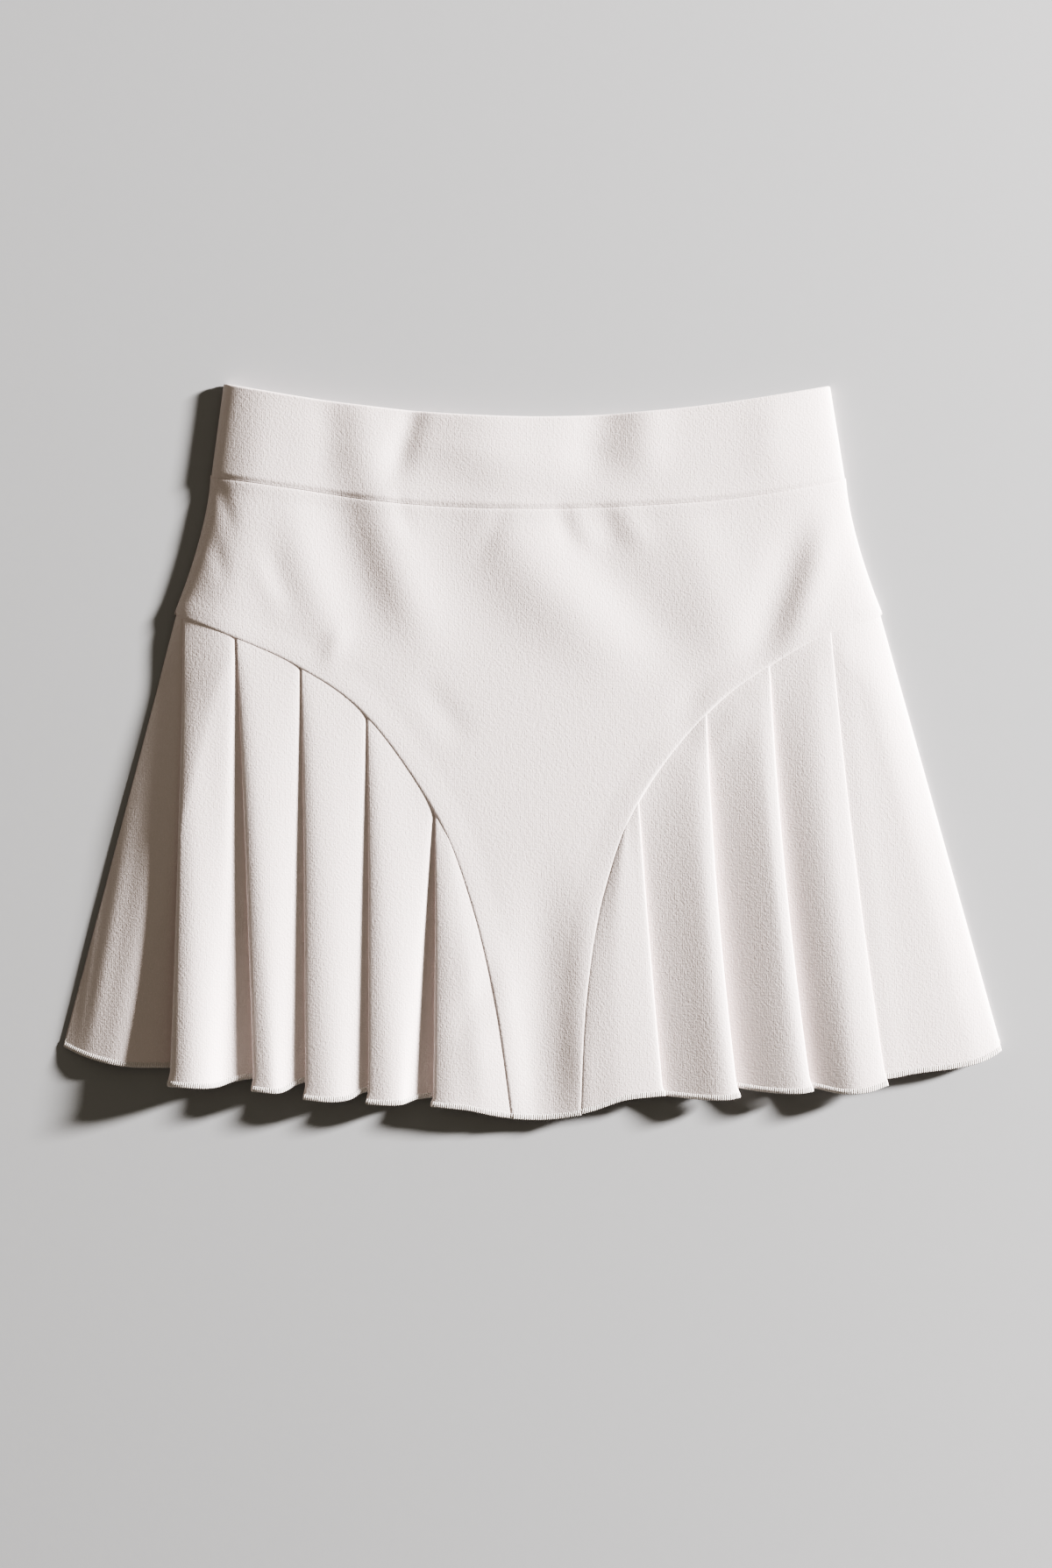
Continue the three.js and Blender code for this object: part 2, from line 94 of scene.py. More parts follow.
# %% Lamp and surround
LAMP_ELEVATION = math.radians(16)
LAMP_AZIMUTH = math.radians(18)  # from +X towards +Y
LAMP_DISTANCE = 4.0  # near enough that the right side gets a little more light than the left
LAMP_SPREAD = math.radians(7)  # how large the lamp looks from the table, which softens the shadows
LAMP_STRENGTH = 17.0  # watts on a square metre that faces the lamp
LAMP_COLOUR = (1, 0.985, 0.975)
SURROUND_COLOUR = (1.0, 0.92, 0.76, 1)
SURROUND_STRENGTH = 0.18

lamp_data = bpy.data.lights.new("raking_lamp", "AREA")
lamp_data.shape = "DISK"
lamp_data.size = 2 * LAMP_DISTANCE * math.tan(LAMP_SPREAD / 2)
lamp_data.energy = LAMP_STRENGTH * math.pi * LAMP_DISTANCE**2
lamp_data.color = LAMP_COLOUR
lamp = show("raking_lamp", lamp_data)
lamp.rotation_euler = (math.pi / 2 - LAMP_ELEVATION, 0, LAMP_AZIMUTH + math.pi / 2)
lamp_reach = LAMP_DISTANCE * math.cos(LAMP_ELEVATION)
lamp.location = (lamp_reach * math.cos(LAMP_AZIMUTH), lamp_reach * math.sin(LAMP_AZIMUTH),
                 LAMP_DISTANCE * math.sin(LAMP_ELEVATION))

world = bpy.data.worlds.new("studio")
world.use_nodes = True
background = world.node_tree.nodes["Background"]
background.inputs["Color"].default_value = SURROUND_COLOUR
background.inputs["Strength"].default_value = SURROUND_STRENGTH
scene.world = world
scene.view_settings.view_transform = "AgX"
scene.view_settings.look = "AgX - High Contrast"
print("lamp", round(lamp_data.energy), "W, surround", SURROUND_STRENGTH)

# %% Table
TABLE_HALF = 3.0  # in metres, far more than the camera sees
table_mesh = bpy.data.meshes.new("table")
corners = [(x * TABLE_HALF, y * TABLE_HALF, 0) for x, y in ((-1, -1), (1, -1), (1, 1), (-1, 1))]
table_mesh.from_pydata(corners, [], [(0, 1, 2, 3)])
table = show("table", table_mesh)
print("table", 2 * TABLE_HALF, "m square")

# %% [markdown]
# ## Outline curves
#
# The cut is drawn with a few curves: the waist seam, and on each side the seam that runs from the
# hip round to the hem. They are smooth curves through the same few points as in the model, so the
# cloth keeps to the model's outlines. All sizes are in millimetres until a mesh is made.

# %% Curves of the cut
WAIST_SEAM = [(-172.3, 147.6), (-122, 140.3), (-69, 133.0), (0, 130.2), (73, 132.8), (120, 137.3),
              (167.6, 145.9)]
SEAM_LEFT = [(-190.5, 73), (-158.5, 61), (-124, 45), (-89, 19.5), (-53, -31), (-34, -77), (-20, -134),
             (-11, -195.5)]
SEAM_RIGHT = [(-186, 72.5), (-159.5, 64), (-127, 46.5), (-93.5, 21), (-57.5, -25), (-38, -77),
              (-29, -134), (-26, -193.5)]  # mirrored, as everything on the right panel is


def smooth_curve(points, steps=40):
    """Points of a Catmull-Rom curve: each span leaves and arrives along the line between its neighbours."""
    known = np.array([points[0], *points, points[-1]], float)
    t = np.linspace(0, 1, steps, endpoint=False)[:, None]
    spans = []
    for before, start, end, after in zip(known[:-3], known[1:-2], known[2:-1], known[3:]):
        leave = (end - before) / 2
        arrive = (after - start) / 2
        cubic = 2 * start - 2 * end + leave + arrive
        square = -3 * start + 3 * end - 2 * leave - arrive
        spans.append(cubic * t**3 + square * t**2 + leave * t + start)
    return np.vstack([*spans, known[-1:]])


def smoothstep(value, low, high):
    """0 below low, 1 above high, and 3t² - 2t³ between them."""
    t = np.clip((value - low) / (high - low), 0, 1)
    return t * t * (3 - 2 * t)


def mix(a, b, share):
    """a where share is 0, b where it is 1, and in proportion between."""
    return a + (b - a) * share


def quarter_circle(share):
    """From 0 to 1 as share goes from 0 to 1: upright at the start and level at the end."""
    inward = 1 - np.clip(share, 0, 1)
    return np.sqrt(1 - inward**2)


def lengths_along(line):
    """How far along a polyline each of its points lies."""
    return np.concatenate([[0], np.cumsum(np.linalg.norm(np.diff(line, axis=0), axis=1))])


waist_curve = smooth_curve(WAIST_SEAM)
seam_curves = {"left": smooth_curve(SEAM_LEFT), "right": smooth_curve(SEAM_RIGHT)}
BAND_TOP = {"middle": 179.3, "dip": 17.2, "half": 160, "power": 1.85, "left": -164.3, "right": 158.2}


def waist_seam_y(x):
    """Height of the waist seam at x."""
    return np.interp(x, waist_curve[:, 0], waist_curve[:, 1])


def band_top_y(x):
    """Upper edge of the band: its middle plus the dip times |x / half| to a power."""
    return BAND_TOP["middle"] + BAND_TOP["dip"] * np.abs(x / BAND_TOP["half"]) ** BAND_TOP["power"]


YOKE_SIDE = {"left": (172.3, 191.8), "right": (167.6, 187.2)}  # half width at its top and bottom
SKIRT_SLOPE = {"left": 0.263, "right": 0.280}
YOKE_TOP_Y, YOKE_BOTTOM_Y = 147, 74
HIP_POWER = 1.5  # above 1 the hip starts straight and then swings out
SKIRT_STEP = 1.3  # the skirt starts this far inside the yoke


def side_x(y, side):
    """Half width of the outline: a hip curve down the yoke, then a straight flare down the skirt."""
    top, bottom = YOKE_SIDE[side]
    down = np.clip((YOKE_TOP_Y - y) / (YOKE_TOP_Y - YOKE_BOTTOM_Y), 0, 1)
    hip = top + (bottom - top) * down**HIP_POWER
    skirt = bottom - SKIRT_STEP + (YOKE_BOTTOM_Y - y) * SKIRT_SLOPE[side]
    return np.where(y < YOKE_BOTTOM_Y, skirt, hip)


print("hem width", round(float(side_x(-157, "left") + side_x(-159, "right"))), "mm")

# %% [markdown]
# ## How high the front lies
#
# The front rests on the inner shorts, so it stands a few millimetres up, and at each side it rolls
# round to the back. The roll is a quarter of an ellipse: upright at the very edge and level where
# it reaches the plateau. Only the flare on the left rises in a nearly even slope. That one function
# of x and y carries the front panel and both pleated panels, so they match at the seams without any
# fitting. The band has a roll of its own.

# %% Height of the front
EDGE_Z = 1.4  # where the front and the back meet at the side
FLARE_DROP = 0.7  # the left flare hangs nearer to the table
HIGH_Z = 8.6  # standing on the shorts, with the air that soft cloth holds
HEM_SAG = 1.2
SAG_START, SAG_END = 130, 200  # between these distances below the origin the plateau sags
ROLL_WIDTH = 42
RIGHT_ROLL = 20
FLARE_TOP_Y = 30  # from the yoke down to here the roll changes into the skirt's
FLARE_LENGTH = 190
FLARE_ROLL = (33, 33.5)  # width of the left flare's slope at its top and at the hem
FLARE_POWER = 1.3  # 1 would be a straight slope; a little more eases it into the plateau


def side_roll(distance, width, bulge):
    """From 0 at the edge to 1 at the width: upright at first like an ellipse for bulge 1, a slope for 0."""
    inward = 1 - np.clip(distance / width, 0, 1)
    return mix(1 - inward**FLARE_POWER, quarter_circle(distance / width), bulge)


def skirt_share(y):
    """0 on the yoke and 1 on the skirt."""
    return 1 - smoothstep(y, FLARE_TOP_Y, YOKE_BOTTOM_Y)


def edge_height(x, y):
    """Where the front and the back meet: lower on the left flare."""
    return EDGE_Z - FLARE_DROP * (x < 0) * skirt_share(y)


def front_height(x, y):
    """The plateau, which sags towards the hem, times the roll from the nearer side edge."""
    on_skirt = skirt_share(y)
    flare_width = mix(*FLARE_ROLL, np.clip((FLARE_TOP_Y - y) / FLARE_LENGTH, 0, 1))
    left_width = mix(ROLL_WIDTH, flare_width, on_skirt)
    right_width = mix(ROLL_WIDTH, RIGHT_ROLL, on_skirt)
    left = side_roll(x + side_x(y, "left"), left_width, 1 - on_skirt)
    right = side_roll(side_x(y, "right") - x, right_width, 1)
    plateau = HIGH_Z - HEM_SAG * smoothstep(-y, SAG_START, SAG_END)
    edge = edge_height(x, y)
    return edge + (plateau - edge) * np.minimum(left, right)


print("front", HIGH_Z, "mm up, and", round(HIGH_Z - HEM_SAG, 1), "mm at the hem")


# %% [markdown]
# ## Creases
#
# Cloth that was worn, folded and laid down keeps soft creases. Each is a row in a table: the line
# that it follows, its width, and its height, where a negative height is a trough. Across the line
# it is a bell curve and along the line it fades in and out, so no crease ends in a step. The heights
# are summed. The front panel and the band take both of the front's tables and the pleated panels
# take the first, so a crease can run on across a seam. The back lies on the table, so it only has a
# few low ridges.

# %% Crease tables
CREASES = [
    # from x, y, through x, y, to x, y, width, height
    (-146, 185, -158, 112, -176, 20, 14, 0.9),
    (-170, 152, -165, 135, -158, 112, 4, -0.35),
    (-172, 116, -167, 103, -163, 86, 4, -0.35),
    (-134, 152, -121, 100, -94, 32, 10, 0.8),
    (-116, 170, -99, 106, -80, 44, 16, -2.0),
    (-94, 168, -74, 104, -48, 40, 13, 1.6),
    (-54, 154, -39, 100, -10, 34, 24, -0.8),
    (-32, 158, 0, 98, 68, 36, 21, 2.2),
    (14, 154, 40, 98, 98, 30, 18, -1.5),
    (66, 148, 92, 100, 108, 32, 15, 0.9),
    (146, 138, 134, 92, 112, 36, 11, -1.7),
    (162, 138, 150, 92, 130, 42, 9, 1.4),
    (-64, 44, -46, 20, -32, 0, 8, -0.6),
    (92, 46, 84, 20, 78, -6, 9, -0.6),
    (-12, 142, -20, 120, -34, 96, 5, -0.4),
    (-142, 120, -136, 96, -124, 70, 6, -0.4),
    (12, 138, 16, 122, 22, 104, 4.5, -0.5),
    (22, 138, 26, 122, 36, 104, 4.5, 0.5),
    (34, 138, 40, 122, 46, 104, 5, -0.45),
    (46, 138, 54, 120, 64, 104, 6, 0.5),
    (-102, 74, -105, 58, -112, 40, 5, 0.6),
    (-72, 146, -70, 128, -62, 110, 4, -0.4),
    (-150, 108, -142, 88, -130, 70, 5, 0.35),
    (116, 30, 104, 12, 90, -2, 7, 0.4),
    (-221, -30, -233, -88, -245, -170, 1.6, 0.15),
    (-206, 20, -226, -95, -246, -205, 6, 0.55),
    (-38, -70, -31, -134, -22, -215, 9, 1.0),
    (-14, -106, -30, -134, -40, -160, 8, -0.6),
    (-24, -80, -14, -140, -8, -220, 9, 0.8),
    (6, -40, 4, -120, 3, -240, 14, -1.8),
    (31, -40, 28, -120, 26, -240, 11, 1.05),
    (26, -130, 27, -180, 27, -240, 5, 0.3),
]
BAND_CREASES = [
    (-142, 210, -146, 170, -150, 130, 12, 0.4),
    (-112, 200, -110, 170, -112, 138, 9, -0.6),
    (-93, 202, -89, 170, -92, 138, 12, 1.3),
    (-58, 200, -67, 171, -78, 136, 7, -1.6),
    (-24, 200, -25, 170, -30, 138, 28, 2.3),
    (40, 202, 34, 170, 28, 136, 14, -2.0),
    (64, 200, 61, 170, 60, 138, 11, 1.0),
    (130, 198, 127, 170, 124, 140, 12, 0.5),
]
CREASE_FADE = 0.4  # share of a crease over which it fades in, and out again
BACK_CREASES = [
    (-140, 110, -96, 40, -60, -40, 14, 0.35),
    (-70, 120, -20, 60, 50, 10, 16, 0.4),
    (60, 128, 92, 60, 104, -30, 13, 0.35),
    (-150, -20, -168, -90, -190, -150, 12, 0.4),
    (-60, -40, -72, -110, -80, -168, 15, 0.4),
    (20, 0, 30, -90, 26, -172, 18, 0.35),
    (120, -20, 138, -90, 150, -164, 13, 0.4),
]


def place_on_curve(x, y, line):
    """Distance from each point to a polyline, and how far along it the nearest place is, from 0 to 1."""
    nearest = np.full(x.shape, 1e9)
    share = np.zeros(x.shape)
    walked = lengths_along(line)
    for k, ((ax, ay), (bx, by)) in enumerate(zip(line[:-1], line[1:])):
        length = walked[k + 1] - walked[k]
        along = np.clip(((x - ax) * (bx - ax) + (y - ay) * (by - ay)) / length**2, 0, 1)
        distance = np.hypot(x - ax - along * (bx - ax), y - ay - along * (by - ay))
        share = np.where(distance < nearest, (walked[k] + along * length) / walked[-1], share)
        nearest = np.minimum(nearest, distance)
    return nearest, share


def distance_to_curve(x, y, line):
    """Shortest distance from each point to a polyline."""
    return place_on_curve(x, y, line)[0]


def crease_height(x, y, table):
    """Sum of bells across bent lines, height × exp(-(across / width)²), each faded in and out along it."""
    total = np.zeros_like(x)
    for x0, y0, x1, y1, x2, y2, width, height in table:
        across, along = place_on_curve(x, y, smooth_curve([(x0, y0), (x1, y1), (x2, y2)], steps=8))
        fade = smoothstep(along, 0, CREASE_FADE) * (1 - smoothstep(along, 1 - CREASE_FADE, 1))
        total += height * fade * np.exp(-((across / width) ** 2))
    return total


print(len(CREASES) + len(BAND_CREASES), "creases on the front")

# %% [markdown]
# ## A wall of cloth
#
# A sheet of cloth could be a single surface with a Solidify modifier. Here both faces are worked
# out directly, because then the wall can thin to nothing at a folded edge, which rounds it. The
# middle surface is a grid of points. The normal at each point is the cross product of the grid's
# two directions, and the faces lie half the thickness to either side of it.

# %% Cloth from a grid of points
def grid_normals(points):
    """Unit cross product of the grid's row and column directions, by central differences."""
    across = np.gradient(points, axis=1)
    down = np.gradient(points, axis=0)
    normal = np.cross(down, across)
    length = np.linalg.norm(normal, axis=2, keepdims=True)
    return normal / np.maximum(length, 1e-9)


def grid_faces(rows, columns, offset):
    """Corner numbers of each cell of a grid whose points are numbered row by row from offset."""
    first = offset + np.arange(rows - 1)[:, None] * columns + np.arange(columns - 1)[None, :]
    return np.stack([first, first + columns, first + columns + 1, first + 1], axis=2).reshape(-1, 4)


def add_mesh(name, corners, faces):
    """A smoothly shaded object from corners in millimetres and faces as corner numbers."""
    mesh = bpy.data.meshes.new(name)
    mesh.from_pydata((corners.reshape(-1, 3) * MM).tolist(), [], faces)
    mesh.shade_smooth()
    return show(name, mesh)


def cloth_wall(name, points, thickness):
    """A closed wall: the grid moved half the thickness both ways along its normals, joined round its rim."""
    rows, columns = points.shape[:2]
    half = np.broadcast_to(np.asarray(thickness, float) / 2, (rows, columns))[..., None]
    normal = grid_normals(points)
    upper = points + normal * half
    lower = points - normal * half
    count = rows * columns
    top_faces = grid_faces(rows, columns, 0)
    bottom_faces = grid_faces(rows, columns, count)[:, ::-1]
    number = np.arange(count).reshape(rows, columns)
    rim = np.concatenate([number[0, :-1], number[:-1, -1], number[-1, :0:-1], number[:0:-1, 0]])
    after = np.roll(rim, -1)
    rim_faces = np.stack([rim, after, after + count, rim + count], axis=1)
    faces = np.vstack([top_faces, bottom_faces, rim_faces])
    piece = add_mesh(name, np.stack([upper, lower]), faces.tolist())
    piece.data.validate()
    print(name, 2 * len(faces), "triangles")
    return piece


def flat_size(points):
    """Width and length along the cloth, its longest row and column, and its area, from the grid's cells."""
    across = np.diff(points, axis=1)
    down = np.diff(points, axis=0)
    width = np.linalg.norm(across, axis=2).sum(axis=1).max()
    length = np.linalg.norm(down, axis=2).sum(axis=0).max()
    area = np.linalg.norm(np.cross(across[:-1], down[:, :-1]), axis=2).sum()
    return width * MM, length * MM, area * MM**2


def spread(count, gather=1.0):
    """Places from 0 to 1, closer together at both ends: an even count mixed with a cosine."""
    even = np.linspace(0, 1, count)
    return mix(even, (1 - np.cos(np.pi * even)) / 2, gather)


CLOTH = 0.7  # thickness of one layer

# %% [markdown]
# ## The front panel
#
# The front is one piece: a hip yoke that narrows into a tongue. It could be cut from a plane, but a
# grid whose rows hang like rungs between its two edges follows the seams exactly and stays even.
# Along each seam the sewn-in allowance pushes the cloth up into a narrow rounded welt, with another
# under the waistband.

# %% Rungs between the edges
SIDE_ROWS, SEAM_ROWS, FRONT_COLUMNS = 34, 166, 150
SEAM_GATHER = 0.6  # how much the rungs crowd towards the hem, where 0 is even
BAND_TUCK = 0.9  # the front panel reaches this far under the waistband
BAND_TUCK_FADE = 3  # the tuck is spread over this much cloth below the waist seam
TONGUE_HEM_DIP = 1.6  # the tongue's hem hangs this much lower in its middle
DIP_POWER = 8  # keeps that dip near the hem


def along_curve(line, shares):
    """Points at equal shares of a polyline's length."""
    walked = lengths_along(line)
    places = np.asarray(shares) * walked[-1]
    return np.stack([np.interp(places, walked, line[:, k]) for k in (0, 1)], axis=1)


def front_edge(side):
    """One edge of the front panel from the waist seam down: the hip's outline, then the panel seam."""
    sign = -1 if side == "left" else 1
    start = waist_curve[0] if side == "left" else waist_curve[-1]
    seam = seam_curves[side] * ((1, 1) if side == "left" else (-1, 1))
    y = mix(start[1], seam[0, 1], 1 - np.cos(np.linspace(0, np.pi / 2, SIDE_ROWS + 1)))[:-1]
    outline = np.stack([sign * side_x(y, side), y], axis=1)
    even = np.linspace(0, 1, SEAM_ROWS)
    gathered = np.sin(np.linspace(0, np.pi / 2, SEAM_ROWS))
    shares = mix(even, gathered, SEAM_GATHER)
    return np.vstack([outline, along_curve(seam, shares)])


WELT = {"height": 0.45, "round": 1.6, "width": 1.2, "fade": 14.0}
WAIST_WELT = {"height": 0.3, "round": 1.0, "width": 1.2, "fade": 8.0}
WELT_GROOVE = 0.3  # how far the seam's line lies below the cloth, as a share of the welt's height


def welt_height(distance, welt):
    """A quarter circle up from the seam, level across the allowance, then a smooth fade to nothing."""
    rise = quarter_circle(distance / welt["round"])
    fade = 1 - smoothstep(distance, welt["width"], welt["width"] + welt["fade"])
    return welt["height"] * (rise * fade - WELT_GROOVE * (1 - rise))


left_edge, right_edge = front_edge("left"), front_edge("right")
u = spread(FRONT_COLUMNS)[None, :]
walked = lengths_along(left_edge)
share = (walked / walked[-1])[:, None]
waist_x = mix(left_edge[0, 0], right_edge[0, 0], u)
waist_sag = waist_seam_y(waist_x) - mix(left_edge[0, 1], right_edge[0, 1], u)
front_x = mix(left_edge[:, :1], right_edge[:, :1], u)
front_y = mix(left_edge[:, 1:], right_edge[:, 1:], u) + waist_sag * (1 - share)
front_y = front_y - TONGUE_HEM_DIP * np.sin(np.pi * u) * share**DIP_POWER
front_y = front_y + BAND_TUCK * (1 - smoothstep(waist_seam_y(front_x) - front_y, 0, BAND_TUCK_FADE))
print("front panel", front_x.shape[0], "rungs of", front_x.shape[1], "points")

# %% Front panel
seam_distance = np.minimum(
    distance_to_curve(front_x, front_y, seam_curves["left"]),
    distance_to_curve(front_x, front_y, seam_curves["right"] * (-1, 1)),
)
waist_distance = waist_seam_y(front_x) - front_y
front_z = front_height(front_x, front_y) + crease_height(front_x, front_y, CREASES + BAND_CREASES)
front_z += welt_height(seam_distance, WELT) + welt_height(waist_distance, WAIST_WELT)
front_points = np.stack([front_x, front_y, front_z], axis=2)
front_panel = cloth_wall("front_panel_cloth", front_points, CLOTH)

# %% [markdown]
# ## The pleated panels
#
# A knife pleat is one cloth folded back on itself twice: under the visible edge it turns inwards,
# runs back beneath, and turns again. Its section is an S lying on its side. Drawing that S with a
# handful of control points, and smoothing them with a B-spline, gives rounded turns for any
# thickness of fold.
#
# Each control point becomes a thread that runs from the panel seam down to the hem. At the seam a
# fold is pressed flat, and it gains most of its height over the upper half of its length. The flare
# and the first fold on the left rise later. The threads of both panels come from short tables in
# the left panel's coordinates, the right one mirrored.

# %% Pleat tables
LEFT = {
    "side": "left",
    "mirror": 1,
    "depth": -0.8,  # the recesses' floor at the seam, below the strips on both sides
    "grip": (2.6, 1.2, 0.4),  # how far crest, foot and recess start from the next apex
    "lean": 0.55,  # where the slope starts, as a share of the way to the next apex
    "opening": 0.42,  # share of a thread over which most of its height comes
    "lag": 1.35,  # power with which the other folds' edges rise after their shoulders
    # powers with which the flare, the first fold and its shoulder rise towards the hem, and how much
    # the last two rise early
    "growth": (2.0, (1.65, 0.35), (1.48, 0.2)),
    # seam x, then hem x and y, lift at the hem
    "flare": [
        (-190.5, -251.0, -157.5, 0.0),
        (-190.2, -246.0, -160.0, 0.0),
        (-189.8, -240.0, -162.5, 0.0),
        (-189.4, -232.0, -165.0, 0.1),
        (-189.2, -223.0, -167.0, 0.3),
        (-188.9, -216.0, -168.0, -1.0),
        (-188.6, -210.0, -168.5, -3.2),
        (-188.3, -198.0, -168.5, -4.0),
    ],
    # apex on the seam; at the hem the fold's edge, then shoulder, slope, crest, foot and recess
    "pleats": [
        {"apex": -187.0, "fold": (-193.0, -177.5, 8.9), "shoulder": (-181, -178.4, 11.8),
         "slope": (-172, -178.8, 9.6), "crest": (-166.5, -178.4, 3.4), "foot": (-161.5, -175.8, 1.1),
         "recess": (-151, -173.8, 1.5), "lap": 9, "bow": 0.8},
        {"apex": -158.5, "fold": (-148.5, -180.5, 4.4), "shoulder": (-139, -181.6, 6.2),
         "slope": (-136, -181.8, 5.2), "crest": (-132, -181.0, 2.3), "foot": (-128, -178.4, 1.2),
         "recess": (-122.5, -175.5, 1.7), "lap": 8, "bow": 0.5},
        {"apex": -124.0, "fold": (-121.0, -185.0, 3.6), "shoulder": (-110, -186.4, 5.4),
         "slope": (-103, -186.2, 4.7), "crest": (-97, -185.4, 1.9), "foot": (-93.5, -182.8, 1.0),
         "recess": (-89, -180.7, 1.6), "lap": 8, "bow": 0.5},
        {"apex": -89.0, "fold": (-87.5, -187.5, 3.1), "shoulder": (-77, -188.2, 4.7),
         "slope": (-70, -188.0, 3.7), "crest": (-67.5, -187.4, 0.6), "foot": (-63.8, -185.6, -1.9),
         "recess": (-54.5, -184.2, -2.4), "lap": 8, "bow": 0.5},
        {"apex": -53.0, "fold": (-53.0, -189.0, 1.4), "shoulder": (-43, -190.0, 3.0), "lap": 8, "bow": 0.5},
    ],
    # share of the way from the last fold to the seam, hem y, lift
    "inner": [(0.34, -190.9, 2.6), (0.52, -192.6, 2.1), (0.72, -194.2, 1.2),
              (0.88, -195.0, 0.4), (1.0, -195.6, -0.4)],
}
RIGHT = {
    "side": "right",
    "mirror": -1,
    "depth": -0.3,
    "grip": (17.0, 9.0, 0.6),
    "lean": 0.3,
    "opening": 0.3,
    "lag": 1.0,
    "growth": (0.6, (0.6, 0.0), (0.6, 0.0)),
    "flare": [
        (-186.0, -251.0, -159.5, 0.0),
        (-184.0, -246.0, -163.0, -1.4),
        (-181.0, -238.0, -166.4, -1.0),
        (-177.0, -225.0, -169.0, -0.1),
        (-173.0, -212.0, -170.4, 0.1),
        (-169.0, -200.0, -172.0, 0.4),
        (-165.5, -193.0, -174.0, 1.0),
    ],
    "pleats": [
        {"apex": -159.5, "fold": (-188.5, -177.6, 2.0), "shoulder": (-181, -181.0, 4.2),
         "slope": (-172, -182.2, 5.1), "crest": (-164, -182.2, 3.2), "foot": (-156, -180.2, 1.2),
         "recess": (-144.5, -177.6, -1.6), "lap": 5, "bow": 2.0},
        {"apex": -127.0, "fold": (-148.5, -180.8, 2.9), "shoulder": (-144.5, -181.8, 4.4),
         "slope": (-138, -182.0, 4.1), "crest": (-128, -181.6, 2.1), "foot": (-118, -180.4, -0.2),
         "recess": (-106.0, -178.6, -2.7), "lap": 8, "bow": 2.7},
        {"apex": -93.5, "fold": (-109.5, -184.0, 2.9), "shoulder": (-105.5, -185.2, 4.4),
         "slope": (-99, -185.6, 4.1), "crest": (-89, -185.2, 1.9), "foot": (-79, -184.2, 0.0),
         "recess": (-67.8, -183.0, -1.9), "lap": 8, "bow": 2.3},
        {"apex": -57.5, "fold": (-69.5, -183.2, 1.8), "shoulder": (-65.5, -183.6, 2.6), "lap": 8, "bow": 0.5},
    ],
    "inner": [(0.34, -185.0, 3.1), (0.52, -187.4, 2.8), (0.72, -190.4, 1.8),
              (0.88, -192.2, 0.8), (1.0, -193.4, 0.1)],
}
# The lying S: lap back under the fold, then turn, as shares, with the height, and how much of the
# way it has come from the recess's hem to the fold's.
S_SECTION = [
    (1.0, -1.0, 0.0, 0.0),
    (1.0, 0.0, 0.25, 0.0),
    (1.0, -1.0, 0.5, 0.2),
    (0.0, 1.0, 0.5, 0.8),
    (0.0, 0.0, 0.75, 1.0),
    (0.0, 0.0, 1.0, 1.0),
]
TURN = 1.0  # radius of a fold's turns at the hem
SEAM_TURN = 0.45  # and at the seam, as a share of it
SEAM_LAP = 1.0  # the underlap where the pleat is caught in the seam
FLICK = 1.2  # the bound hem is stiff and springs out past each fold
FLICK_START = 0.965
RIM_SHARES = (0.35, 0.4, 0.5)  # the rim's place in x, y and lift on the way from fold to shoulder
RIM_GRIP, SHOULDER_GRIP, INNER_GRIP = 1.5, 5.0, 4.0  # how far past the apex these threads start
FOOT_DEPTH = 0.6  # the foot starts at this share of the recess's depth
INNER_GAP = (5.5, 7)  # from the last fold to where the cloth lies flat, at the seam and at the hem
TUCK = 1.4  # the panel reaches this far under the front panel's welt
TUCK_DROP = 0.75  # and would be this far down at TUCK_FADE past the seam
TUCK_FADE = 2.0
PANEL_ROWS = 112
SAMPLES_PER_CONTROL = 5
print(len(LEFT["pleats"]), "pleats on the left,", len(RIGHT["pleats"]), "on the right")


# %% Threads from the seam to the hem
DOWN = spread(PANEL_ROWS, 0.8)  # places along a thread: 0 at the seam and 1 at the hem


def seam_y(panel, x):
    """The panel seam's y at x."""
    seam = seam_curves[panel["side"]]
    return np.interp(x, seam[:, 0], seam[:, 1])


def tucked(panel, x):
    """The seam's point at x, moved under the front panel, square to the seam."""
    slope = seam_y(panel, x + 0.5) - seam_y(panel, x - 0.5)
    step = TUCK / np.hypot(1, slope)
    return x - slope * step, seam_y(panel, x) + step


def pleat_bow(pleat):
    """How far a fold's line bends sideways between its ends: a parabola."""
    return pleat["bow"] * 4 * DOWN * (1 - DOWN)


def thread(panel, seam_x, hem, seam_lift, grow, shift=0.0):
    """x, y and lift from the seam to the hem: straight, except for the shift, and rising as grow does."""
    hem_x, hem_y, lift = hem
    start_x, start_y = tucked(panel, seam_x)
    return (mix(start_x, hem_x, DOWN) + shift, mix(start_y, hem_y, DOWN),
            mix(seam_lift, lift, grow))


def fold_threads(panel, pleat, before, grow):
    """The lying S under a pleat's visible edge, from the recess before it up to the edge itself."""
    fold_x, fold_y, fold_lift = pleat["fold"]
    recess_lift = mix(panel["depth"], before[2], grow)
    lap = mix(SEAM_LAP, pleat["lap"], DOWN)
    turn = TURN * mix(SEAM_TURN, 1.0, np.sqrt(DOWN))
    flick = FLICK * smoothstep(DOWN, FLICK_START, 1.0)
    start_x, start_y = tucked(panel, pleat["apex"])
    line = mix(start_x, fold_x, DOWN) + pleat_bow(pleat) - flick
    threads = []
    for lap_share, turn_share, height, hem_share in S_SECTION:
        hem_y = mix(before[1], fold_y, hem_share)
        lift = mix(recess_lift, fold_lift * grow, height)
        x = line + lap_share * lap + turn_share * turn
        threads.append((x, mix(start_y, hem_y, DOWN), lift))
    return threads


